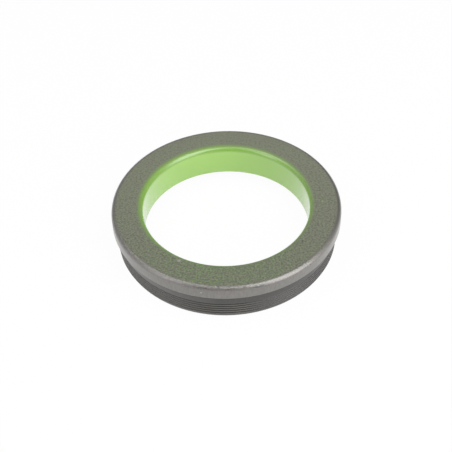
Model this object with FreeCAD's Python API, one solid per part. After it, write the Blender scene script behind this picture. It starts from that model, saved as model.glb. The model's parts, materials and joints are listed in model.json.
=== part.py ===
import FreeCAD, Part
import math
import os

# Unitised oil seal for a wheel hub, in millimetres, standing on its oil side.
# +Z points to the air side, where the flange is. The origin is on the axis, in the
# plane of the oil-side end. Every section below is drawn as (radius, height).

# Sizes that the seal is chosen by
shaft_diameter = 113.0  # bore of the wear sleeve, pressed on the spindle
housing_diameter = 150.0  # over the ribbed rubber, pressed in the hub
overall_height = 30.0  # from the oil-side end to the flange's face

# Wear sleeve: one pressing of steel sheet
sleeve_sheet = 1.5
sleeve_bend = 1.5  # inside radius of both large bends
sleeve_length = 23.8  # from the flange's face to the flared end
sleeve_flare = 2.0  # the end is turned out by this much, which holds the seal together
skirt_depth = 9.5  # from the flange's face to the skirt's edge
bend_flat_count = 2  # a bend's outside is drawn as this many flats, tangent to its arc

# Room between the sleeve, which turns, and the sealing body
skirt_gap = 1.5
flange_gap = 3.0
lip_clearance = 0.1  # each lip stops this far from the sleeve

# Steel insert of angle section, which stiffens the rubber
insert_sheet = 1.5

# Rubber on the insert
cover = 1.1  # round the outside
wall_cover = 0.8  # over the insert's wall, on the air side

# Ribbed outside of the rubber
lead_in_height = 3.2  # of the taper below the ribs
lead_in_depth = 0.3
rib_pitch = 2.0
rib_depth = 0.6
rib_count = 5

# Main lip and, above it, the dust lip, both towards the sleeve
lip_reach = 4.4  # from the insert's wall down to the sealing edge
air_angle = 27.0  # between the sleeve and the main lip's air side
oil_angle = 60.0
air_flank = 3.2  # height of the main lip's air side

# Garter spring, drawn as the ring that its coils fill, and its groove in the lip
coil_diameter = 3.0
coil_sides = 6
groove_offset = 0.6  # the spring lies this far above the sealing edge
groove_wall = 2.0  # rubber between the sleeve and the groove
spring_clearance = 0.05

# Worked out from the sizes above
bore_radius = shaft_diameter / 2
running_radius = bore_radius + sleeve_sheet
body_radius = housing_diameter / 2
flange_radius = body_radius + skirt_gap + sleeve_sheet
flange_underside = overall_height - sleeve_sheet
body_top = flange_underside - flange_gap
insert_radius = body_radius - cover
insert_top = body_top - wall_cover
insert_underside = insert_top - insert_sheet
lip_radius = running_radius + lip_clearance
lip_height = insert_underside - lip_reach
groove_radius = lip_radius + groove_wall
spring_height = lip_height + groove_offset
groove_slope = math.tan(math.pi / coil_sides)  # radius gained for each step of height
insert_wall_radius = groove_radius + (insert_underside - spring_height) * groove_slope


def ring(outline):
    """The solid that a closed outline of (radius, height) corners makes in one turn."""
    corners = [FreeCAD.Vector(radius, 0, height) for radius, height in outline]
    face = Part.Face(Part.makePolygon(corners + corners[:1]))
    return face.revolve(FreeCAD.Vector(0, 0, 0), FreeCAD.Vector(0, 0, 1), 360)


def bend_points(corner, way_in, way_out, radius, flats):
    """Corners of the flats that stand for a bend to the right, each tangent to its arc."""
    turn = way_in.getAngle(way_out)
    step = turn / (flats + 1)
    right = FreeCAD.Vector(way_in.y, -way_in.x, 0)
    centre = corner - way_in * (radius * math.tan(turn / 2)) + right * radius
    reach = radius / math.cos(step / 2)
    points = []
    for number in range(flats + 1):
        angle = (number + 0.5) * step
        points.append(centre + (way_in * math.sin(angle) - right * math.cos(angle)) * reach)
    return points


def bent_sheet(path, thickness, inside_radii):
    """Outline of a sheet that lies to the right of a path which turns right at each corner.

    The outside of a bend follows its arc. The inside is left square, as it is hidden.
    """
    near = [FreeCAD.Vector(radius, height, 0) for radius, height in path]
    ways = [(b - a).normalize() for a, b in zip(near, near[1:])]
    rights = [FreeCAD.Vector(way.y, -way.x, 0) for way in ways]
    outside = [near[0]]
    inside = [near[0] + rights[0] * thickness]
    for number, radius in enumerate(inside_radii):
        corner = near[number + 1]
        ways_here = ways[number : number + 2]
        both = rights[number] + rights[number + 1]
        if radius:
            outside += bend_points(corner, *ways_here, radius + thickness, bend_flat_count)
        else:
            outside.append(corner)
        inside.append(corner + both * (2 * thickness / both.dot(both)))
    outside.append(near[-1])
    inside.append(near[-1] + rights[-1] * thickness)
    return [(p.x, p.y) for p in outside + inside[::-1]]


def wear_sleeve():
    """Bore, flange and turned-down skirt in one sheet, flared at the oil side."""
    flared_end = overall_height - sleeve_length
    path = [
        (bore_radius + sleeve_flare, flared_end),
        (bore_radius, flared_end + sleeve_flare),
        (bore_radius, overall_height),
        (flange_radius, overall_height),
        (flange_radius, overall_height - skirt_depth),
    ]
    return ring(bent_sheet(path, sleeve_sheet, [0, sleeve_bend, sleeve_bend]))


def steel_insert():
    """Pressed ring of angle section, drawn from its wall's inner edge out and down."""
    path = [
        (insert_wall_radius, insert_top),
        (insert_radius, insert_top),
        (insert_radius, 0),
    ]
    return ring(bent_sheet(path, insert_sheet, [0]))


def ribbed_outside():
    """Outline of the rubber's outside, from its lower end up to the air side."""
    root_radius = body_radius - rib_depth
    outline = [(root_radius - lead_in_depth, 0)]
    for number in range(rib_count):
        root_height = lead_in_height + number * rib_pitch
        outline.append((root_radius, root_height))
        outline.append((body_radius, root_height + rib_pitch / 2))
    outline.append((body_radius, body_top))
    return outline


def lips():
    """Outline from the dust lip down to the sealing edge and round the nose to the groove.

    The nose ends where the oil side meets the groove's lower side.
    """
    air_slope = math.tan(math.radians(air_angle))
    oil_slope = math.tan(math.radians(oil_angle))
    nose = (groove_wall + groove_offset * groove_slope) / (oil_slope - groove_slope)
    return [
        (lip_radius, body_top),
        (lip_radius + air_flank * air_slope, lip_height + air_flank),
        (lip_radius, lip_height),
        (lip_radius + nose * oil_slope, lip_height - nose),
        (groove_radius, spring_height),
    ]


def sealing_body():
    """Rubber moulded on the insert's outside and over its wall, with the lips."""
    on_insert = [
        (insert_wall_radius, insert_underside),
        (insert_wall_radius, insert_top),
        (insert_radius, insert_top),
        (insert_radius, 0),
    ]
    return ring(ribbed_outside() + lips() + on_insert)


def garter_spring():
    """A ring with flat sides, two of which lie against the groove."""
    half_side = math.pi / coil_sides
    reach = coil_diameter / 2 / math.cos(half_side)
    middle = groove_radius + reach + spring_clearance
    outline = []
    for number in range(coil_sides):
        angle = 2 * number * half_side
        outline.append((middle + reach * math.cos(angle), spring_height + reach * math.sin(angle)))
    return ring(outline)


pieces = {
    "wear_sleeve": wear_sleeve(),
    "steel_insert": steel_insert(),
    "sealing_body": sealing_body(),
    "garter_spring": garter_spring(),
}

os.makedirs("parts", exist_ok=True)
for name, piece in pieces.items():
    print(name, "valid" if piece.isValid() else "not valid", round(piece.Volume / 1000, 2), "cm3")
    piece.exportStep("parts/" + name + ".step")
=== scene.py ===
# %% [markdown]
# # A cassette oil seal for a wheel hub
# The seal is a set of rings about one axis. A steel sleeve, with a flange and a turned-down
# skirt, is pressed on the shaft. Round it lies a ring of rubber on a steel insert, with a
# lip and a garter spring inside and ribs outside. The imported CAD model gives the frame:
# every piece below is made in metres, in that frame, and rides on one of its bodies.

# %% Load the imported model
import bmesh
import bpy
import json
import math
from mathutils import Matrix, Vector


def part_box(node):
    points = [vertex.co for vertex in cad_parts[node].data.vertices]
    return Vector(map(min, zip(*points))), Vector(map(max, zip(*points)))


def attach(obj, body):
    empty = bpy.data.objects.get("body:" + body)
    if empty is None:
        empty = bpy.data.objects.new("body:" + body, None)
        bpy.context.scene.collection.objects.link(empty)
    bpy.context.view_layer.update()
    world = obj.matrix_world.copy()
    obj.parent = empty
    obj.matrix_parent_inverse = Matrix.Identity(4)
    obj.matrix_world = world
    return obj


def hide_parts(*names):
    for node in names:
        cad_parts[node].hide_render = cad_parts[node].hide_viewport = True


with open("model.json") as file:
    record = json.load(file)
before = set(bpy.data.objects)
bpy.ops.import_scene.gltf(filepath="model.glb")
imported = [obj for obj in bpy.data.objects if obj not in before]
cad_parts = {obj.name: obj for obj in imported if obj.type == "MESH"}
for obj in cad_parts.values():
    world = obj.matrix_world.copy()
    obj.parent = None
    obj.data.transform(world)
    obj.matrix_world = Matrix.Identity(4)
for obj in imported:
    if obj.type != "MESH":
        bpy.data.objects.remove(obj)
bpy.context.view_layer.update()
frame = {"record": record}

MM = 0.001

# %% [markdown]
# ## Sizes from the CAD model
# The main diameters and heights are read from the model's own boxes and mounts, so the
# dressed pieces fit it by themselves. All of them are in millimetres, as on a drawing.

# %% Main sizes
mounts = {mount["name"]: mount for mount in frame["record"]["mounts"]}
sleeve_box = [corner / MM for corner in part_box("wear_sleeve")]
body_box = [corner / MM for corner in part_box("sealing_body")]
spring_box = [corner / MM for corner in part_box("garter_spring")]
bore_radius = mounts["bore"]["dims"]["r_mm"]
flange_radius = sleeve_box[1].x
flange_height = sleeve_box[1].z
body_radius = mounts["hub_seat"]["dims"]["r_mm"]
body_top = body_box[1].z
print("bore", bore_radius, "flange", round(flange_radius, 2), "height", round(flange_height, 2))

# %% [markdown]
# ## Camera
# The photograph looks down at about 45 degrees through a long lens. The values come from
# fitting circles of the seal's real diameters to its outlines. The camera is set by three
# directions: the way back to it, its right and its up, with a small roll.

# %% Camera
ELEVATION = math.radians(44.7888)
DISTANCE = 772.9856
ROLL = math.radians(1.8545)
AIM_RIGHT = -0.6051
AIM_UP = 5.9028
LENS = 88.309

back = Vector((0, -math.cos(ELEVATION), math.sin(ELEVATION)))
level_right = Vector((1, 0, 0))
level_up = back.cross(level_right)
camera = bpy.data.objects.new("camera", bpy.data.cameras.new("camera"))
camera.data.lens = LENS
camera.data.clip_start = 0.05
camera.data.clip_end = 20
right = level_right * math.cos(ROLL) - level_up * math.sin(ROLL)
up = level_right * math.sin(ROLL) + level_up * math.cos(ROLL)
place = (level_right * AIM_RIGHT + level_up * AIM_UP + back * DISTANCE) * MM
camera.matrix_world = Matrix.Translation(place) @ Matrix((right, up, back)).transposed().to_4x4()
bpy.context.collection.objects.link(camera)
bpy.context.scene.camera = camera
print("camera at", [round(value, 4) for value in camera.location])

# %% [markdown]
# ## Two small helpers
# Colours are written as sRGB hex values, as a paint card gives them, and Blender's sockets
# want linear light, so one function turns them. The other adds a node to any tree, sets
# its options and joins its inputs, which keeps the trees below short enough to read.

# %% Colour and node helpers
def linear(code):
    """An sRGB hex colour as linear red, green, blue and alpha."""
    values = [int(code[start : start + 2], 16) / 255 for start in (1, 3, 5)]
    return [v / 12.92 if v <= 0.04045 else ((v + 0.055) / 1.055) ** 2.4 for v in values] + [1.0]


def add(tree, kind, inputs=None, **settings):
    """Adds a node. An input takes a value, a socket, or a node for that node's first output."""
    node = tree.nodes.new(kind)
    for name, value in settings.items():
        setattr(node, name, value)
    for key, value in (inputs or {}).items():
        if isinstance(value, bpy.types.Node):
            value = value.outputs[0]
        if isinstance(value, bpy.types.NodeSocket):
            tree.links.new(value, node.inputs[key])
        else:
            node.inputs[key].default_value = value
    return node


print("linear mid grey", [round(value, 3) for value in linear("#808080")])

# %% [markdown]
# ## Starting and ending a node tree
# Geometry Nodes make the rings and the spring. Each tree starts with named inputs for its
# sizes and ends in the same four nodes: smooth shading, a step that makes instances real,
# the material and the output. Two helpers hold what the trees share.

# %% Helpers that start and end a tree
def new_tree(name, inputs):
    """A Geometry Nodes tree with named inputs, and the sockets that give them inside it."""
    tree = bpy.data.node_groups.new(name, "GeometryNodeTree")
    tree.interface.new_socket("Geometry", in_out="OUTPUT", socket_type="NodeSocketGeometry")
    for label, kind in inputs.items():
        tree.interface.new_socket(label, in_out="INPUT", socket_type="NodeSocket" + kind)
    return tree, add(tree, "NodeGroupInput").outputs


def close_tree(tree, mesh, material):
    """Shades a mesh smooth, makes it real, gives it its material and hands it out."""
    smooth = add(tree, "GeometryNodeSetShadeSmooth", {"Geometry": mesh})
    real = add(tree, "GeometryNodeRealizeInstances", {"Geometry": smooth})
    painted = add(tree, "GeometryNodeSetMaterial", {"Geometry": real, "Material": material})
    add(tree, "NodeGroupOutput", {0: painted})
    print("nodes in", tree.name + ":", len(tree.nodes))


print("trees before the first:", len(bpy.data.node_groups))

# %% [markdown]
# ## Turning a section into a ring
# Every piece but the spring is a ring, so each is drawn once as a closed section, radius
# against height, and turned about the axis. A spin in mesh code could do it. A node tree
# is used instead, because the steps round the ring and the grooves in its outside stay
# inputs that can be changed later.

# %% Node tree for a turned ring: its inputs
ring_inputs = {
    "Section": "Geometry",
    "Steps": "Int",
    "Core Radius": "Float",
    "Groove Depth": "Float",
    "Groove Pitch": "Float",
    "Groove Count": "Int",
    "Lowest Groove": "Float",
    "Grooved From": "Float",
    "Material": "Material",
}
turning, given = new_tree("Turned ring", ring_inputs)
print("inputs of", turning.name + ":", ", ".join(ring_inputs))

# %% [markdown]
# The first part of the tree cuts grooves at one pitch into the outside of a section, as
# the rubber needs to grip the hub. Each point there moves inwards by a wave of its height.
# With a depth of 0 nothing moves, which suits the plain pieces.

# %% Node tree for a turned ring: the grooves
# Where the wave is lower than this, the crest of a rib stays flat
CREST = -0.4
spot = add(turning, "ShaderNodeSeparateXYZ", {0: add(turning, "GeometryNodeInputPosition")})
climb = {0: spot.outputs["Z"], 1: given["Lowest Groove"]}
climb = add(turning, "ShaderNodeMath", climb, operation="SUBTRACT")
turns = add(turning, "ShaderNodeMath", {0: climb, 1: given["Groove Pitch"]}, operation="DIVIDE")
angle = add(turning, "ShaderNodeMath", {0: turns, 1: 2 * math.pi}, operation="MULTIPLY")
wave = add(turning, "ShaderNodeMath", {0: angle}, operation="COSINE")
depth = {"Value": wave, "From Min": CREST, "To Max": given["Groove Depth"]}
depth = add(turning, "ShaderNodeMapRange", depth)
# Grooves run from half a pitch below the lowest one to half a pitch above the highest
last = add(turning, "ShaderNodeMath", {0: given["Groove Count"], 1: 0.5}, operation="SUBTRACT")
for value, limit, test in (
    (turns, -0.5, "GREATER_THAN"),
    (turns, last, "LESS_THAN"),
    (spot.outputs["X"], given["Grooved From"], "GREATER_THAN"),
):
    within = add(turning, "ShaderNodeMath", {0: value, 1: limit}, operation=test)
    depth = add(turning, "ShaderNodeMath", {0: depth, 1: within}, operation="MULTIPLY")
inwards = add(turning, "ShaderNodeMath", {0: depth, 1: -1.0}, operation="MULTIPLY")
offset = add(turning, "ShaderNodeCombineXYZ", {"X": inwards})
moved = {"Geometry": given["Section"], "Offset": offset}
grooved = add(turning, "GeometryNodeSetPosition", moved)
print("nodes so far:", len(turning.nodes))

# %% [markdown]
# The second part turns the section. It is laid on its side about the middle of a circle
# and swept along that circle, whose normals point straight up so that nothing twists.

# %% Node tree for a turned ring: the sweep
shift = add(turning, "ShaderNodeMath", {0: given["Core Radius"], 1: -1.0}, operation="MULTIPLY")
to_core = add(turning, "ShaderNodeCombineXYZ", {"X": shift})
outline = add(turning, "GeometryNodeMeshToCurve", {0: grooved})
laid = {0: outline, "Translation": to_core, "Rotation": (math.pi / 2, 0, 0)}
profile = add(turning, "GeometryNodeTransform", laid)
core = {"Resolution": given["Steps"], "Radius": given["Core Radius"]}
circle = add(turning, "GeometryNodeCurvePrimitiveCircle", core)
level = add(turning, "GeometryNodeSetCurveNormal", {"Curve": circle}, mode="Z_UP")
swept = add(turning, "GeometryNodeCurveToMesh", {"Curve": level, "Profile Curve": profile})
close_tree(turning, swept, given["Material"])

# %% [markdown]
# Two more helpers serve every piece. The first rounds the corners of an outline, each with
# its own radius, because no real edge is sharp and a round edge is what catches light. The
# second puts a tree on an outline as a modifier, sets its inputs by identifier, and keeps
# the evaluated result as a plain mesh.

# %% Helper that rounds an outline
def rounded(corners, step_degrees=7.0):
    """A closed outline whose corners, given as (radius, height, rounding), are arcs."""
    points = []
    for number, (x, z, rounding) in enumerate(corners):
        here = Vector((x, z))
        before = (Vector(corners[number - 1][:2]) - here).normalized()
        after = (Vector(corners[(number + 1) % len(corners)][:2]) - here).normalized()
        turn = math.pi - before.angle(after)
        if rounding == 0 or turn < 0.01:
            points.append((x, z))
            continue
        inward = (before + after).normalized()
        centre = here + inward * (rounding / math.cos(turn / 2))
        steps = max(2, math.ceil(math.degrees(turn) / step_degrees))
        side = 1 if before.x * after.y - before.y * after.x > 0 else -1
        for step in range(steps + 1):
            angle = side * turn * (0.5 - step / steps)
            arm = Matrix.Rotation(angle, 2) @ -inward
            points.append(tuple(centre + arm * rounding))
    return points


print("points in a rounded square:", len(rounded([(0, 0, 1), (0, 9, 1), (9, 9, 1), (9, 0, 1)])))

# %% Helper that grows a piece from an outline
def grown(name, points, closed, tree, sizes):
    """A plain mesh object: what the tree makes of an outline in millimetres."""
    edges = [(number, number + 1) for number in range(len(points) - 1)]
    if closed:
        edges.append((len(points) - 1, 0))
    outline = bpy.data.meshes.new(name + "_outline")
    outline.from_pydata([(x * MM, 0, z * MM) for x, z in points], edges, [])
    source = bpy.data.objects.new(name + "_outline", outline)
    bpy.context.collection.objects.link(source)
    modifier = source.modifiers.new(tree.name, "NODES")
    modifier.node_group = tree
    for item in tree.interface.items_tree:
        if item.name in sizes:
            modifier[item.identifier] = sizes[item.name]
    view = bpy.context.evaluated_depsgraph_get()
    mesh = bpy.data.meshes.new_from_object(source.evaluated_get(view))
    bpy.data.objects.remove(source)
    mesh.name = name
    piece = bpy.data.objects.new(name, mesh)
    bpy.context.collection.objects.link(piece)
    shell = bmesh.new()
    shell.from_mesh(mesh)
    open_edges = sum(len(edge.link_faces) != 2 for edge in shell.edges)
    volume = shell.calc_volume(signed=True) / MM**3 / 1000
    shell.free()
    print(name, len(mesh.polygons), "faces,", open_edges, "open edges,", round(volume, 2), "cm3")
    return piece


# Every ring takes this many steps, and its section is swept along a circle inside its bore
STEPS = 400
CORE_INSET = 6.0
turned = {"Steps": STEPS, "Core Radius": (bore_radius - CORE_INSET) * MM}
print("steps round a ring:", STEPS, "core radius:", bore_radius - CORE_INSET, "mm")

# %% [markdown]
# ## Two helpers for the finishes
# Each finish starts from Blender's main shader. On this seal it changes with the place: the
# distance from the axis, the height and the side. A second function adds the nodes that
# give those. They read Object coordinates, so a finish turns with its piece.

# %% Helpers that start a finish and find the place on a ring
def new_finish(name):
    """A new material, its node tree and its main shader."""
    material = bpy.data.materials.new(name)
    material.use_nodes = True
    return material, material.node_tree, material.node_tree.nodes["Principled BSDF"]


def place_on_ring(tree):
    """What gives a point's place, the place without its height, its radius, and X, Y and Z."""
    where = add(tree, "ShaderNodeTexCoord").outputs["Object"]
    flat = add(tree, "ShaderNodeVectorMath", {0: where, 1: (1, 1, 0)}, operation="MULTIPLY")
    radius = add(tree, "ShaderNodeVectorMath", {0: flat}, operation="LENGTH").outputs["Value"]
    axes = add(tree, "ShaderNodeSeparateXYZ", {0: where}).outputs
    return {"where": where, "flat": flat, "radius": radius, **{axis: axes[axis] for axis in "XYZ"}}


print("materials before the first finish:", len(bpy.data.materials))

# %% [markdown]
# ## Lacquered sheet steel
# The sleeve was pressed from steel sheet and given a thin grey-green phosphate film, then
# its bore was sprayed with green sealing lacquer. So one skin has three finishes: glossy
# lacquer in the bore and over its bend, a matt film on the flange with fine specks of
# spray, and bare steel, rubbed in handling, on the outer bend and the skirt. One material
# holds them all, because they fade into each other over a few millimetres. Masks made
# from the place on the ring say which finish is where.

# %% Sleeve material: crystals and zones
sheet_finish, tree, shader = new_finish("phosphated_and_lacquered_steel")
spot = place_on_ring(tree)
# Crystals of the film, drawn 1.3 mm across instead of some 0.05 mm so that they show
CRYSTAL = 1.3
grain = {"Vector": spot["where"], "Scale": 1 / (CRYSTAL * MM), "Detail": 2.0}
grain = add(tree, "ShaderNodeTexNoise", grain)
# A zone is a mask that goes from 0 to 1 between two radii, heights or places, in millimetres
zones = {}
for name, axis, start, end in (
    ("top of the sheet", "Z", 28.6, 29.0),
    ("bore's side of the sheet", "radius", 57.45, 57.3),
    ("bore's wall", "Z", 28.4, 26.6),
    ("painted shade on the bend over the bore", "Z", 26.5, 28.5),
    ("back of the sheet", "radius", 59.2, 58.7),
    ("front", "Y", -30, -70),
    ("front edge", "Y", -72, -76),
    ("upper part of the outer bend", "Z", 27.4, 28.2),
    ("outside the flange", "radius", 74.6, 75.2),
    ("short of the skirt", "radius", 77.2, 76.4),
):
    ramp = {"Value": spot[axis], "From Min": start * MM, "From Max": end * MM}
    zones[name] = add(tree, "ShaderNodeMapRange", ramp)
print("zones of the sleeve:", ", ".join(zones))

# %% [markdown]
# The lacquer covers the bore and ends on the flange without an edge, as sprayed paint
# does. The spray reached further over one side of the ring than over the other, so the
# fade is measured from a point beside the axis. It doesn't reach the back of the sheet.

# %% Sleeve material: the lacquer's mask
SPRAY_CENTRE = (-0.5 * MM, 1.1 * MM, 0)
FADE_START = 56.0
FADE_END = 61.2
FADE_JITTER = 1.6
# Even where it is thickest a little of the film shows through
LACQUER_SHARE = 0.89
spray = {0: spot["flat"], 1: SPRAY_CENTRE}
spray = add(tree, "ShaderNodeVectorMath", spray, operation="DISTANCE").outputs["Value"]
jitter = {"Value": grain, "To Min": -FADE_JITTER * MM, "To Max": FADE_JITTER * MM}
jitter = add(tree, "ShaderNodeMapRange", jitter)
spray = add(tree, "ShaderNodeMath", {0: spray, 1: jitter}, operation="ADD")
fade = {"Value": spray, "From Min": FADE_END * MM, "From Max": FADE_START * MM}
fade["To Max"] = LACQUER_SHARE
lacquer = add(tree, "ShaderNodeMapRange", fade, interpolation_type="SMOOTHSTEP")
face = {0: zones["top of the sheet"], 1: zones["bore's side of the sheet"]}
face = add(tree, "ShaderNodeMath", face, operation="MAXIMUM")
lacquer = add(tree, "ShaderNodeMath", {0: lacquer, 1: face}, operation="MULTIPLY")
wall = {0: zones["bore's wall"], 1: zones["bore's side of the sheet"]}
wall = add(tree, "ShaderNodeMath", wall, operation="MULTIPLY")
lacquer = add(tree, "ShaderNodeMath", {0: lacquer, 1: wall}, operation="MAXIMUM")
print("the lacquer fades from", FADE_START, "to", FADE_END, "mm")

# %% [markdown]
# The flange has a dull grey-olive film, mottled by its crystals. Towards +Y it is painted a little
# paler: painted light.

# %% Sleeve material: the film
# The painted light grows over this distance on each side of the axis
FILM_SPAN = 75
mottle = add(tree, "ShaderNodeMapRange", {"Value": grain, "From Min": 0.32, "From Max": 0.68})
# Painted light: the film is drawn paler towards +Y
painted_light_to_back = {"Value": spot["Y"], "From Min": -FILM_SPAN * MM, "From Max": FILM_SPAN * MM}
painted_light_to_back = add(tree, "ShaderNodeMapRange", {**painted_light_to_back, "To Min": -0.06, "To Max": 0.46})
pale = add(tree, "ShaderNodeMath", {0: mottle, 1: painted_light_to_back}, operation="ADD", use_clamp=True)
film = {0: pale, 6: linear("#56574C"), 7: linear("#797D6B")}
film = add(tree, "ShaderNodeMix", film, data_type="RGBA").outputs[2]
print("nodes so far:", len(tree.nodes))

# %% [markdown]
# Fine drops of the spray lie on the film, more of them near the bore and where the gun was
# pointed, which is towards -X and -Y. A pattern of cells places them: each cell has a
# chance of its own, and holds a drop where the crowd of drops is larger than that.

# %% Sleeve material: the drops of spray on the film
# Cells this wide make drops that show at this size, where the real mist is finer
DROP_CELL = 1.3
SPRAY_WAY = (-0.7, -0.7, 0)
cells = {"Vector": spot["where"], "Scale": 1 / (DROP_CELL * MM)}
cells = add(tree, "ShaderNodeTexVoronoi", cells).outputs
near_bore = {"Value": spot["radius"], "From Min": 58 * MM, "From Max": 70 * MM}
near_bore = add(tree, "ShaderNodeMapRange", {**near_bore, "To Min": 0.3, "To Max": 0.0})
sprayed = {0: spot["where"], 1: SPRAY_WAY}
sprayed = add(tree, "ShaderNodeVectorMath", sprayed, operation="DOT_PRODUCT").outputs["Value"]
sprayed = {"Value": sprayed, "From Min": -65 * MM, "From Max": 40 * MM}
sprayed = add(tree, "ShaderNodeMapRange", {**sprayed, "To Min": 0.12, "To Max": 0.58})
crowd = add(tree, "ShaderNodeMath", {0: near_bore, 1: sprayed}, operation="ADD")
chance = add(tree, "ShaderNodeSeparateColor", {0: cells["Color"]})
held = add(tree, "ShaderNodeMath", {0: chance, 1: crowd}, operation="LESS_THAN")
wet = {"Value": cells["Distance"], "From Min": 0.42, "From Max": 0.2, "To Max": held}
wet = add(tree, "ShaderNodeMapRange", wet)
wet = add(tree, "ShaderNodeMath", {0: wet, 1: crowd}, operation="MULTIPLY")
# At the front they are greener, and a mist too fine to see tints the film between them
mist = add(tree, "ShaderNodeMath", {0: zones["front"], 1: 0.08}, operation="MULTIPLY")
drop = {0: zones["front"], 6: linear("#798C69"), 7: linear("#739A48")}
drop = add(tree, "ShaderNodeMix", drop, data_type="RGBA").outputs[2]
print("nodes so far:", len(tree.nodes))

# %% [markdown]
# Outside the flange the sheet is bare. The bend is rubbed bright along a ragged line, since it is
# what a box or a bench touches first. At the front the bend has dark ticks of painted shade just
# under its glare and bright nicks of painted glints, and the skirt keeps the upright lines of its
# drawing die. The back of the sheet by the bore is the running surface, which is ground.

# %% Sleeve material: where the steel is bare
RUBBED_JITTER = 1.8
ragged = {"Value": grain, "To Min": -RUBBED_JITTER * MM, "To Max": RUBBED_JITTER * MM}
ragged = add(tree, "ShaderNodeMapRange", ragged)
worn = add(tree, "ShaderNodeMath", {0: spot["radius"], 1: ragged}, operation="ADD")
bare = {"Value": worn, "From Min": 75.0 * MM, "From Max": 75.6 * MM}
bare = add(tree, "ShaderNodeMapRange", bare)
ground = {0: zones["back of the sheet"], 1: face}
ground = add(tree, "ShaderNodeMath", ground, operation="SUBTRACT", use_clamp=True)
bare = add(tree, "ShaderNodeMath", {0: bare, 1: ground}, operation="MAXIMUM")
# Stretched patterns. The numbers say how often each repeats in a millimetre, first level and then
# upright: the dashes of painted shade are some 4 mm long, and drawing lines 0.9 mm apart
patterns = {}
for name, along, upwards, detail in (
    ("dashes of painted shade", 0.25, 1.4, 2.0),
    ("dents and glints", 0.62, 1.4, 1.0),
    ("drawing lines", 1.1, 0.24, 2.0),
):
    stretched = {0: spot["where"], 1: (along / MM, along / MM, upwards / MM)}
    stretched = add(tree, "ShaderNodeVectorMath", stretched, operation="MULTIPLY")
    noise = {"Vector": stretched, "Scale": 1.0, "Detail": detail}
    patterns[name] = add(tree, "ShaderNodeTexNoise", noise)
print("patterns on the steel:", ", ".join(patterns))

# %% Sleeve material: painted shade, painted glints and drawing lines
# Dark ticks at the front, just under the bend's glare: painted shade in dashes
painted_shade_dashes = {"Value": patterns["dashes of painted shade"], "From Min": 0.56, "From Max": 0.66}
painted_shade_dashes = add(tree, "ShaderNodeMapRange", painted_shade_dashes)
for mask in (zones["upper part of the outer bend"], zones["front edge"], bare):
    painted_shade_dashes = add(tree, "ShaderNodeMath", {0: painted_shade_dashes, 1: mask}, operation="MULTIPLY")
# Bright nicks along the edge of the film at the front: painted glints
painted_glints = {"Value": patterns["dents and glints"], "From Min": 0.54, "From Max": 0.74, "To Max": 0.25}
painted_glints = add(tree, "ShaderNodeMapRange", painted_glints)
for name in ("outside the flange", "short of the skirt", "front edge"):
    painted_glints = add(tree, "ShaderNodeMath", {0: painted_glints, 1: zones[name]}, operation="MULTIPLY")
lines = {"Value": patterns["drawing lines"], "From Min": 0.3, "From Max": 0.7}
lines = add(tree, "ShaderNodeMapRange", lines)
steel = {0: lines, 6: linear("#73706B"), 7: linear("#807D78")}
steel = add(tree, "ShaderNodeMix", steel, data_type="RGBA").outputs[2]
print("nodes so far:", len(tree.nodes))

# %% [markdown]
# Now the finishes are laid over each other, and a few single marks are added at the
# places where the photograph shows them: a pale chip and a dark speck beside the bore, a
# fleck of lacquer on the flange and a small nick on the skirt. The gloss follows the same
# masks.

# %% Sleeve material: layers and single marks
# The lacquer is painted darker and greener on the bend over the bore than down the wall: painted
# shade
green = {0: zones["painted shade on the bend over the bore"], 6: linear("#9DCA5D"), 7: linear("#7EAF3A")}
green = add(tree, "ShaderNodeMix", green, data_type="RGBA").outputs[2]
layers = [
    (mist, linear("#6F9150")),
    (wet, drop),
    (lacquer, green),
    (bare, steel),
    # Painted shade in dark ticks, and painted glints in bright nicks
    (painted_shade_dashes, linear("#46443F")),
    (painted_glints, linear("#D2CFC8")),
]
# Each mark: its place, radius and share, and its colour
for x, y, z, size, share, colour in (
    (-31.7, -52.1, 30, 1.5, 0.8, "#9A938D"),
    (49.1, -37.9, 30, 0.9, 0.75, "#3E403A"),
    (65.0, -1.0, 30, 1.2, 0.35, "#7FB64C"),
    (-17.8, -76.0, 24.9, 0.8, 0.35, "#DCDAD4"),
):
    far = {0: spot["where"], 1: (x * MM, y * MM, z * MM)}
    far = add(tree, "ShaderNodeVectorMath", far, operation="DISTANCE").outputs["Value"]
    reach = {"Value": far, "From Min": size * MM, "From Max": size * MM / 2, "To Max": share}
    layers.append((add(tree, "ShaderNodeMapRange", reach), linear(colour)))
skin = film
for share, colour in layers:
    skin = add(tree, "ShaderNodeMix", {0: share, 6: skin, 7: colour}, data_type="RGBA").outputs[2]
tree.links.new(skin, shader.inputs["Base Color"])
print("layers:", len(layers))

# %% Sleeve material: gloss
metal = add(tree, "ShaderNodeMapRange", {"Value": bare, "To Min": 0.0, "To Max": 0.85})
satin = add(tree, "ShaderNodeMapRange", {"Value": bare, "To Min": 0.55, "To Max": 0.5})
gloss = add(tree, "ShaderNodeMapRange", {"Value": lacquer, "To Min": satin, "To Max": 0.2})
# The lacquer is a clear coat; on the bare steel a film of oil against rust does the same
coat = add(tree, "ShaderNodeMapRange", {"Value": lacquer, "From Min": 0.25, "From Max": 0.7})
coat = add(tree, "ShaderNodeMath", {0: coat, 1: bare}, operation="MAXIMUM")
for source, socket in ((metal, "Metallic"), (gloss, "Roughness"), (coat, "Coat Weight")):
    tree.links.new(source.outputs[0], shader.inputs[socket])
shader.inputs["Coat Roughness"].default_value = 0.28
shader.inputs["Coat IOR"].default_value = 1.62
print("coat roughness", round(shader.inputs["Coat Roughness"].default_value, 2))

# %% Sleeve material: bumps
rough = add(tree, "ShaderNodeMapRange", {"Value": lacquer, "To Min": 0.18, "To Max": 0.0})
bump = add(tree, "ShaderNodeBump", {"Height": grain, "Strength": rough, "Distance": 0.06 * MM})
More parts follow.
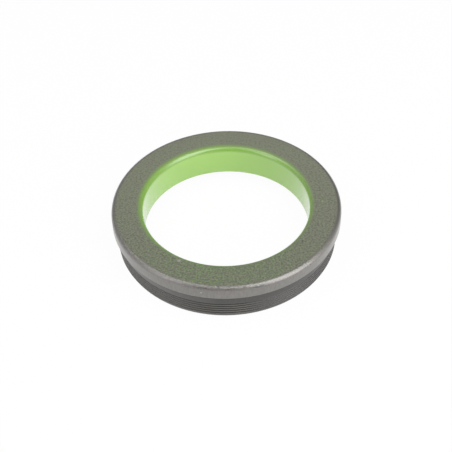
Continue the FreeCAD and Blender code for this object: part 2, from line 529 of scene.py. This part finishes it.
# Small dents break the glare on the rubbed bend, and they are shallower towards +X
calmer = {"Value": spot["X"], "From Min": 5 * MM, "From Max": 25 * MM, "To Min": 1.0, "To Max": 0.35}
calmer = add(tree, "ShaderNodeMapRange", calmer)
beaten = bare
for mask in (zones["upper part of the outer bend"], calmer):
    beaten = add(tree, "ShaderNodeMath", {0: beaten, 1: mask}, operation="MULTIPLY")
dented = {"Height": patterns["dents and glints"], "Strength": beaten, "Distance": 0.3 * MM, "Normal": bump}
bump = add(tree, "ShaderNodeBump", dented)
for socket in ("Normal", "Coat Normal"):
    tree.links.new(bump.outputs[0], shader.inputs[socket])
print("nodes in", sheet_finish.name, len(tree.nodes))

# %% [markdown]
# ## The wear sleeve
# One pressing: bore, flange and skirt. Its section is the sheet itself, 1.5 mm thick, with
# a round bend at each corner and a lower end that is turned out so that the seal can't
# fall apart. The bends are true arcs here, where the CAD model has flats.

# %% Wear sleeve
SHEET = 1.5
BEND = 3.0
SKIRT_DEPTH = 9.5
FLARE = 2.0
flared_end = sleeve_box[0].z
skirt_edge = flange_height - SKIRT_DEPTH
# The flare leans at 45 degrees, which sets where its end and its inner corner are
slant = SHEET / math.sqrt(2)
flare_corner = SHEET * math.tan(math.pi / 8)
# Each corner: radius, height and rounding
sleeve_section = [
    (bore_radius + FLARE, flared_end, 0.2),
    (bore_radius, flared_end + FLARE, 1.2),
    (bore_radius, flange_height, BEND),
    (flange_radius, flange_height, BEND),
    (flange_radius, skirt_edge, 0.3),
    (flange_radius - SHEET, skirt_edge, 0.3),
    (flange_radius - SHEET, flange_height - SHEET, BEND - SHEET),
    (bore_radius + SHEET, flange_height - SHEET, BEND - SHEET),
    (bore_radius + SHEET, flared_end + FLARE + flare_corner, 2.5),
    (bore_radius + FLARE + slant, flared_end + slant, 0.2),
]
sleeve_sizes = {**turned, "Material": sheet_finish}
sleeve = grown("sleeve_pressing", rounded(sleeve_section), True, turning, sleeve_sizes)

# %% [markdown]
# ## Nitrile rubber
# Moulded rubber, dark grey and matt. It takes the mould's finish, so it is smooth, with a faint
# grain. It is painted lighter on the side towards -X: painted light.

# %% Rubber material: rubber and painted light
rubber, tree, shader = new_finish("moulded_nitrile_rubber")
spot = place_on_ring(tree)
# The mould's grain, drawn coarser than it is so that it shows
RUBBER_GRAIN = 1.2
grain = {"Vector": spot["where"], "Scale": 1 / (RUBBER_GRAIN * MM), "Detail": 3.0}
grain = add(tree, "ShaderNodeTexNoise", grain)
mottle = add(tree, "ShaderNodeMapRange", {"Value": grain, "From Min": 0.3, "From Max": 0.7})
tone = {0: mottle, 6: linear("#3B3A39"), 7: linear("#464543")}
tone = add(tree, "ShaderNodeMix", tone, data_type="RGBA").outputs[2]
# Painted light: the rubber is drawn lighter towards -X
painted_light_on_left = {"Value": spot["X"], "From Min": -5 * MM, "From Max": -55 * MM, "To Max": 0.8}
painted_light_on_left = add(tree, "ShaderNodeMapRange", painted_light_on_left)
tone = {0: painted_light_on_left, 6: tone, 7: linear("#6C6B68")}
tone = add(tree, "ShaderNodeMix", tone, data_type="RGBA").outputs[2]
print("nodes so far:", len(tree.nodes))

# %% [markdown]
# On the ribs light and shade are painted with a wave of one rib's pitch: painted light on the crests
# and upper sides, and painted shade in the grooves between them. On the side towards +X the wave
# turns round, with painted light in the grooves and painted shade on the crests.

# %% Rubber material: where the ribs' painted light and shade go
RIB_LOWEST = 3.2
RIB_PITCH = 2.0
RIB_COUNT = 5
RIB_DEPTH = 0.6
# The painted shade is darkest just over a groove's bottom
DARKEST = RIB_LOWEST + 0.4
climb = add(tree, "ShaderNodeMath", {0: spot["Z"], 1: DARKEST * MM}, operation="SUBTRACT")
angle = {0: climb, 1: 2 * math.pi / (RIB_PITCH * MM)}
angle = add(tree, "ShaderNodeMath", angle, operation="MULTIPLY")
wave = add(tree, "ShaderNodeMath", {0: angle}, operation="COSINE")
# Zones as on the sleeve. The last number is the least that a zone goes down to
zones = {}
for name, axis, start, end, least in (
    ("above the taper", "Z", 2.0, 2.4, 0.0),
    ("below the band", "Z", 12.6, 12.3, 0.0),
    ("outside", "radius", 74.2, 74.3, 0.0),
    ("where grooves get painted shade", "X", 32, 10, 0.0),
    ("less on the left", "X", -75, -10, 0.2),
    ("where the painted wave turns round", "X", 10, 35, 0.0),
):
    ramp = {"Value": spot[axis], "From Min": start * MM, "From Max": end * MM, "To Min": least}
    zones[name] = add(tree, "ShaderNodeMapRange", ramp)
painted_shade_side = {0: zones["where grooves get painted shade"], 1: zones["less on the left"]}
painted_shade_side = add(tree, "ShaderNodeMath", painted_shade_side, operation="MULTIPLY")
print("zones of the rubber:", ", ".join(zones))

# %% Rubber material: painted light and shade on the ribs
shares = {}
# Each layer: its name, where on the wave it starts and ends, its colour and its side; all four are
# painted light or shade
for name, start, end, colour, side_mask in (
    ("painted shade in grooves", -0.55, -0.05, "#0C0C0C", painted_shade_side),
    ("painted light on crests", -0.35, -0.85, "#625F5A", painted_shade_side),
    ("painted light in grooves", -0.3, 0.4, "#696662", zones["where the painted wave turns round"]),
    ("painted shade on crests", 0.0, -0.6, "#3E3C3B", zones["where the painted wave turns round"]),
):
    share = {"Value": wave, "From Min": start, "From Max": end, "To Max": 0.95}
    share = add(tree, "ShaderNodeMapRange", share)
    for mask in (zones["above the taper"], zones["below the band"], zones["outside"], side_mask):
        share = add(tree, "ShaderNodeMath", {0: share, 1: mask}, operation="MULTIPLY")
    tone = {0: share, 6: tone, 7: linear(colour)}
    tone = add(tree, "ShaderNodeMix", tone, data_type="RGBA").outputs[2]
    shares[name] = share
tree.links.new(tone, shader.inputs["Base Color"])
print("colours on the ribs:", ", ".join(shares))

# %% Rubber material: gloss and grain
# Smooth above, duller on the ribs and without any gloss in their grooves
matt = {"Value": spot["Z"], "From Min": 13.0 * MM, "From Max": 12.6 * MM}
matt = add(tree, "ShaderNodeMapRange", {**matt, "To Min": 0.32, "To Max": 0.45})
matt = {"Value": shares["painted shade in grooves"], "To Min": matt, "To Max": 0.9}
matt = add(tree, "ShaderNodeMapRange", matt)
tree.links.new(matt.outputs[0], shader.inputs["Roughness"])
# Dust on it catches the light at a glancing view
shader.inputs["Sheen Weight"].default_value = 0.2
shader.inputs["Sheen Roughness"].default_value = 0.4
bump = add(tree, "ShaderNodeBump", {"Height": grain, "Strength": 0.15, "Distance": 0.05 * MM})
tree.links.new(bump.outputs[0], shader.inputs["Normal"])
print("nodes in", rubber.name, len(tree.nodes))

# %% [markdown]
# ## The sealing body
# Rubber moulded round the insert: the ribbed outside, a cover over the insert's wall, a
# dust lip at the top and the main lip below it. Behind the main lip is a round groove
# that holds the spring. The grooves outside come from the node tree, so this outline has
# a straight run there, finely divided.

# %% Sealing body: its sizes
COVER = 1.1
WALL_COVER = 0.8
INSERT_SHEET = 1.5
INSERT_BEND = 2.4
LIP_GAP = 0.1
LIP_REACH = 4.4
AIR_FLANK = 3.2
GROOVE_WALL = 2.0
SPRING_AIR = 0.05
LEAD_IN = 0.3
# The spring's solid has six sides, and the groove's two sides lie against two of them
half_side = math.pi / 6
air_slope = math.tan(math.radians(27))
oil_slope = math.tan(math.radians(60))
groove_slope = math.tan(half_side)
insert_radius = body_radius - COVER
insert_top = body_top - WALL_COVER
insert_underside = insert_top - INSERT_SHEET
lip_radius = bore_radius + SHEET + LIP_GAP
lip_height = insert_underside - LIP_REACH
spring_height = (spring_box[0].z + spring_box[1].z) / 2
coil_radius = (spring_box[1].z - spring_box[0].z) / 2
groove_radius = lip_radius + GROOVE_WALL
nose = (GROOVE_WALL + (spring_height - lip_height) * groove_slope) / (oil_slope - groove_slope)
insert_inner = groove_radius + (insert_underside - spring_height) * groove_slope
print("sealing edge at radius", round(lip_radius, 2), "height", round(lip_height, 2))

# %% Sealing body
POINTS_PER_RIB = 16
rib_run = [
    (body_radius, RIB_LOWEST + RIB_PITCH * (number / POINTS_PER_RIB - 0.5), 0)
    for number in range(POINTS_PER_RIB * RIB_COUNT + 1)
]
body_section = [
    (insert_radius, 0, 0),
    (insert_radius, insert_top, INSERT_BEND),
    (insert_inner, insert_top, 0),
    (insert_inner, insert_underside, 0),
    (groove_radius, spring_height, coil_radius + SPRING_AIR),
    (lip_radius + nose * oil_slope, lip_height - nose, 0.45),
    (lip_radius, lip_height, 0.08),
    (lip_radius + AIR_FLANK * air_slope, lip_height + AIR_FLANK, 0.5),
    (lip_radius, body_top, 0.15),
    (body_radius, body_top, 0.6),
    *reversed(rib_run),
    (body_radius - RIB_DEPTH - LEAD_IN, 0, 0.3),
]
# Only points less than 0.2 mm inside the outer diameter are moved
grooves = {
    "Groove Depth": RIB_DEPTH * MM,
    "Groove Pitch": RIB_PITCH * MM,
    "Groove Count": RIB_COUNT,
    "Lowest Groove": RIB_LOWEST * MM,
    "Grooved From": (body_radius - 0.2) * MM,
}
body_sizes = {**turned, **grooves, "Material": rubber}
sealing_ring = grown("rubber_body", rounded(body_section), True, turning, body_sizes)

# %% [markdown]
# ## The steel insert
# A pressed ring of angle section, which stiffens the rubber. Its bore side isn't covered,
# so it shows from below, where it has the grey phosphate that rubber bonds to.

# %% Material: phosphated insert steel
insert_steel, tree, shader = new_finish("phosphated_insert_steel")
where = add(tree, "ShaderNodeTexCoord").outputs["Object"]
# The same crystals as on the sleeve, with broad clouds over them
CLOUD = 9
grain = {"Vector": where, "Scale": 1 / (CRYSTAL * MM), "Detail": 3.0}
grain = add(tree, "ShaderNodeTexNoise", grain)
cloud = {"Vector": where, "Scale": 1 / (CLOUD * MM), "Detail": 1.0}
cloud = add(tree, "ShaderNodeTexNoise", cloud)
mottle = add(tree, "ShaderNodeMath", {0: grain, 1: cloud}, operation="ADD")
mottle = add(tree, "ShaderNodeMapRange", {"Value": mottle, "From Min": 0.75, "From Max": 1.25})
tone = {0: mottle, 6: linear("#66645F"), 7: linear("#868279")}
tone = add(tree, "ShaderNodeMix", tone, data_type="RGBA").outputs[2]
tree.links.new(tone, shader.inputs["Base Color"])
shader.inputs["Metallic"].default_value = 0.35
satin = add(tree, "ShaderNodeMapRange", {"Value": grain, "To Min": 0.45, "To Max": 0.65})
tree.links.new(satin.outputs[0], shader.inputs["Roughness"])
print("nodes in", insert_steel.name, len(tree.nodes))

# %% Insert
insert_section = [
    (insert_radius, 0, 0.15),
    (insert_radius - INSERT_SHEET, 0, 0.15),
    (insert_radius - INSERT_SHEET, insert_underside, INSERT_BEND - INSERT_SHEET),
    (insert_inner, insert_underside, 0.1),
    (insert_inner, insert_top, 0.1),
    (insert_radius, insert_top, INSERT_BEND),
]
insert_sizes = {**turned, "Material": insert_steel}
insert = grown("insert_pressing", rounded(insert_section), True, turning, insert_sizes)

# %% [markdown]
# ## The garter spring
# A closed coil of thin wire, bent into a ring. It is a helix whose axis is a circle, so
# every point follows from its number by one formula. A tree does that: it takes the
# points of a circle, moves each by the coil's own angle, and sweeps the wire along them.

# %% Node tree for the garter spring: its inputs
# A modifier hands in its object's own mesh as Start, and this tree has no use for it
spring_inputs = {
    "Start": "Geometry",
    "Turns": "Int",
    "Points per Turn": "Int",
    "Ring Radius": "Float",
    "Ring Height": "Float",
    "Coil Radius": "Float",
    "Wire Radius": "Float",
    "Material": "Material",
}
winding, given = new_tree("Garter spring", spring_inputs)
print("inputs of", winding.name + ":", ", ".join(spring_inputs))

# %% [markdown]
# A point's number says how far it is round the ring, and that angle times the number of
# turns says how far it is round the coil. From the two angles come its distance from the
# axis and its height.

# %% Node tree for the garter spring: the winding
count = {0: given["Turns"], 1: given["Points per Turn"]}
count = add(winding, "ShaderNodeMath", count, operation="MULTIPLY")
path = add(winding, "GeometryNodeCurvePrimitiveCircle", {"Resolution": count, "Radius": 1.0})
index = add(winding, "GeometryNodeInputIndex")
part = add(winding, "ShaderNodeMath", {0: index, 1: count}, operation="DIVIDE")
round_ring = add(winding, "ShaderNodeMath", {0: part, 1: 2 * math.pi}, operation="MULTIPLY")
round_coil = {0: round_ring, 1: given["Turns"]}
round_coil = add(winding, "ShaderNodeMath", round_coil, operation="MULTIPLY")
ring_x = add(winding, "ShaderNodeMath", {0: round_ring}, operation="COSINE")
ring_y = add(winding, "ShaderNodeMath", {0: round_ring}, operation="SINE")
coil_out = add(winding, "ShaderNodeMath", {0: round_coil}, operation="COSINE")
coil_up = add(winding, "ShaderNodeMath", {0: round_coil}, operation="SINE")
# Each point's distance from the axis, and its height
reach = {0: coil_out, 1: given["Coil Radius"], 2: given["Ring Radius"]}
reach = add(winding, "ShaderNodeMath", reach, operation="MULTIPLY_ADD")
rise = {0: coil_up, 1: given["Coil Radius"], 2: given["Ring Height"]}
rise = add(winding, "ShaderNodeMath", rise, operation="MULTIPLY_ADD")
x = add(winding, "ShaderNodeMath", {0: reach, 1: ring_x}, operation="MULTIPLY")
y = add(winding, "ShaderNodeMath", {0: reach, 1: ring_y}, operation="MULTIPLY")
wound = add(winding, "ShaderNodeCombineXYZ", {"X": x, "Y": y, "Z": rise})
helix = add(winding, "GeometryNodeSetPosition", {"Geometry": path, "Position": wound})
wire = {"Resolution": 6, "Radius": given["Wire Radius"]}
wire = add(winding, "GeometryNodeCurvePrimitiveCircle", wire)
coil = add(winding, "GeometryNodeCurveToMesh", {"Curve": helix, "Profile Curve": wire})
close_tree(winding, coil, given["Material"])

# %% [markdown]
# The wire is hard-drawn spring steel, bright, with streaks from the die.

# %% Material: drawn spring steel
spring_steel, tree, shader = new_finish("drawn_spring_steel")
where = add(tree, "ShaderNodeTexCoord").outputs["Object"]
# Size of its streaks, about as long as the wire is thick
STREAK = 0.8
grain = {"Vector": where, "Scale": 1 / (STREAK * MM), "Detail": 2.0}
grain = add(tree, "ShaderNodeTexNoise", grain)
mottle = add(tree, "ShaderNodeMapRange", {"Value": grain, "From Min": 0.3, "From Max": 0.7})
tone = {0: mottle, 6: linear("#9C9A94"), 7: linear("#BDBBB5")}
tone = add(tree, "ShaderNodeMix", tone, data_type="RGBA").outputs[2]
tree.links.new(tone, shader.inputs["Base Color"])
shader.inputs["Metallic"].default_value = 1.0
gloss = add(tree, "ShaderNodeMapRange", {"Value": grain, "To Min": 0.2, "To Max": 0.36})
tree.links.new(gloss.outputs[0], shader.inputs["Roughness"])
print("nodes in", spring_steel.name, len(tree.nodes))

# %% [markdown]
# The ring is as large as the CAD model's, whose flat sides the coils touch, and its turns
# lie side by side, one wire apart.

# %% Garter spring
WIRE = 0.8
# From one turn to the next, with a little air so that they don't touch
TURN_PITCH = WIRE * 1.02
ring_radius = spring_box[1].x - coil_radius / math.cos(half_side)
coil_turns = int(2 * math.pi * ring_radius / TURN_PITCH)
coil_sizes = {
    "Turns": coil_turns,
    "Points per Turn": 12,
    "Ring Radius": ring_radius * MM,
    "Ring Height": spring_height * MM,
    "Coil Radius": (coil_radius - WIRE / 2) * MM,
    "Wire Radius": WIRE / 2 * MM,
    "Material": spring_steel,
}
garter = grown("garter_coil", [(0, 0), (1, 0)], False, winding, coil_sizes)
print("turns", coil_turns, "ring radius", round(ring_radius, 2))

# %% [markdown]
# ## Which body each piece rides on
# The sleeve turns with the shaft. The rubber, its insert and the spring stay in the hub.
# Each piece stands for the CAD solid of the same place, which then isn't shown.

# %% Attach the pieces
for piece, node, carrier, slot in (
    (sleeve, "wear_sleeve", "shaft_side", "lacquered_steel"),
    (sealing_ring, "sealing_body", "hub_side", "nitrile_rubber"),
    (insert, "steel_insert", "hub_side", "insert_steel"),
    (garter, "garter_spring", "hub_side", "spring_wire"),
):
    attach(piece, carrier)
    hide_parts(node)
    print(piece.name, "stands for", node)

# %% [markdown]
# ## Floor and light
# The photograph has a pure white ground with hardly a shadow. The floor is white to the
# camera and in reflections through its own colour, and keeps a weak shadow.

# %% Floor
HALF_FLOOR = 3.0
# It lies this far below the seal, so that no two faces share a plane
FLOOR_DROP = 0.02
# The camera and reflections see this share of plain white in place of its paint
FLOOR_GLOW = 0.965
floor_mesh = bpy.data.meshes.new("floor")
corners = [(-1, -1), (1, -1), (1, 1), (-1, 1)]
corners = [(x * HALF_FLOOR, y * HALF_FLOOR, -FLOOR_DROP * MM) for x, y in corners]
floor_mesh.from_pydata(corners, [], [(0, 1, 2, 3)])
floor = bpy.data.objects.new("floor", floor_mesh)
bpy.context.collection.objects.link(floor)
floor_paint = bpy.data.materials.new("white_floor")
floor_paint.use_nodes = True
tree = floor_paint.node_tree
tree.nodes.clear()
rays = add(tree, "ShaderNodeLightPath").outputs
seen = {0: rays["Is Camera Ray"], 1: rays["Is Glossy Ray"]}
seen = add(tree, "ShaderNodeMath", seen, operation="MAXIMUM")
seen = add(tree, "ShaderNodeMath", {0: seen, 1: rays["Is Transmission Ray"]}, operation="MAXIMUM")
glowing = add(tree, "ShaderNodeMath", {0: seen, 1: FLOOR_GLOW}, operation="MULTIPLY")
paint = add(tree, "ShaderNodeBsdfDiffuse", {"Color": linear("#F4F4F4")})
glow = add(tree, "ShaderNodeEmission", {"Color": (1, 1, 1, 1), "Strength": 1.0})
both = add(tree, "ShaderNodeMixShader", {0: glowing, 1: paint, 2: glow})
add(tree, "ShaderNodeOutputMaterial", {"Surface": both})
floor_mesh.materials.append(floor_paint)
print("floor of", 2 * HALF_FLOOR, "m")

# %% [markdown]
# The light is a soft white surround, brighter towards -X, and three soft lamps, set where
# the glare on the round bends says they stood. A tall strip on the right makes the bright
# line on the bend at the front and the streak at the back of the bore. A weak one stands
# at the front on the left, and another hangs over the left side.

# %% Surround
world = bpy.data.worlds.new("studio")
world.use_nodes = True
bpy.context.scene.world = world
tree = world.node_tree
tree.nodes.clear()
rays = add(tree, "ShaderNodeLightPath").outputs
direction = add(tree, "ShaderNodeTexCoord").outputs["Generated"]
toward = {0: direction, 1: (-0.85, -0.15, 0)}
toward = add(tree, "ShaderNodeVectorMath", toward, operation="DOT_PRODUCT").outputs["Value"]
sky = {"Value": toward, "From Min": -1.0, "From Max": 1.0, "To Min": 0.18, "To Max": 0.44}
sky = add(tree, "ShaderNodeMapRange", sky)
print("surround from 0.2 to 0.42")

# %% [markdown]
# In reflections the white floor runs on into a white wall at the sides and behind, and a
# white ceiling hangs over it. Both are dimmer on the far side, and they leave out the
# side where the camera stands. To the camera the surround is plain white.

# %% Surround: what reflections and the camera see
parts = add(tree, "ShaderNodeSeparateXYZ", {0: direction}).outputs
far_side = {"Value": parts["Y"], "From Min": 0.3, "From Max": 0.55, "To Min": 1.0, "To Max": 0.3}
far_side = add(tree, "ShaderNodeMapRange", far_side)
for name, strength, ramps in (
    ("white wall", 1.0, (("Z", 0.45, 0.05), ("Y", -0.97, -0.7))),
    ("white ceiling", 0.58, (("Y", -0.85, -0.45), ("Z", 0.0, 0.5))),
):
    patch = {0: rays["Is Glossy Ray"], 1: strength}
    patch = add(tree, "ShaderNodeMath", patch, operation="MULTIPLY")
    for axis, start, end in ramps:
        ramp = {"Value": parts[axis], "From Min": start, "From Max": end, "To Max": patch}
        patch = add(tree, "ShaderNodeMapRange", ramp)
    patch = add(tree, "ShaderNodeMath", {0: patch, 1: far_side}, operation="MULTIPLY")
    sky = add(tree, "ShaderNodeMath", {0: sky, 1: patch}, operation="MAXIMUM")
    print(name, "in reflections, up to", strength)
surround = add(tree, "ShaderNodeBackground", {"Color": (1, 1, 1, 1), "Strength": sky})
white = add(tree, "ShaderNodeBackground", {"Color": (1, 1, 1, 1), "Strength": 1.0})
shown = add(tree, "ShaderNodeMixShader", {0: rays["Is Camera Ray"], 1: surround, 2: white})
add(tree, "ShaderNodeOutputWorld", {"Surface": shown})
print("nodes in the surround:", len(tree.nodes))

# %% Lamps
LAMP_DISTANCE = 0.9
# Each lamp: its direction round the seal and over the floor, its size and its power
for name, turn_degrees, rise_degrees, width, length, watts in (
    ("lamp_right", -37, 38, 0.7, 1.5, 10.2),
    ("lamp_left", -147, 34, 0.35, 0.8, 1.9),
    ("lamp_above", 160, 66, 0.4, 0.5, 1.4),
):
    turn = math.radians(turn_degrees)
    rise = math.radians(rise_degrees)
    lamp_data = bpy.data.lights.new(name, "AREA")
    lamp_data.shape = "RECTANGLE"
    lamp_data.size = width
    lamp_data.size_y = length
    lamp_data.energy = watts
    lamp = bpy.data.objects.new(name, lamp_data)
    level_reach = math.cos(rise)
    way = (math.cos(turn) * level_reach, math.sin(turn) * level_reach, math.sin(rise))
    way = Vector(way)
    lamp.location = way * LAMP_DISTANCE
    lamp.rotation_mode = "QUATERNION"
    lamp.rotation_quaternion = way.to_track_quat("Z", "Y")
    bpy.context.collection.objects.link(lamp)
    print(name, watts, "W")

bpy.context.scene.view_settings.view_transform = "Standard"
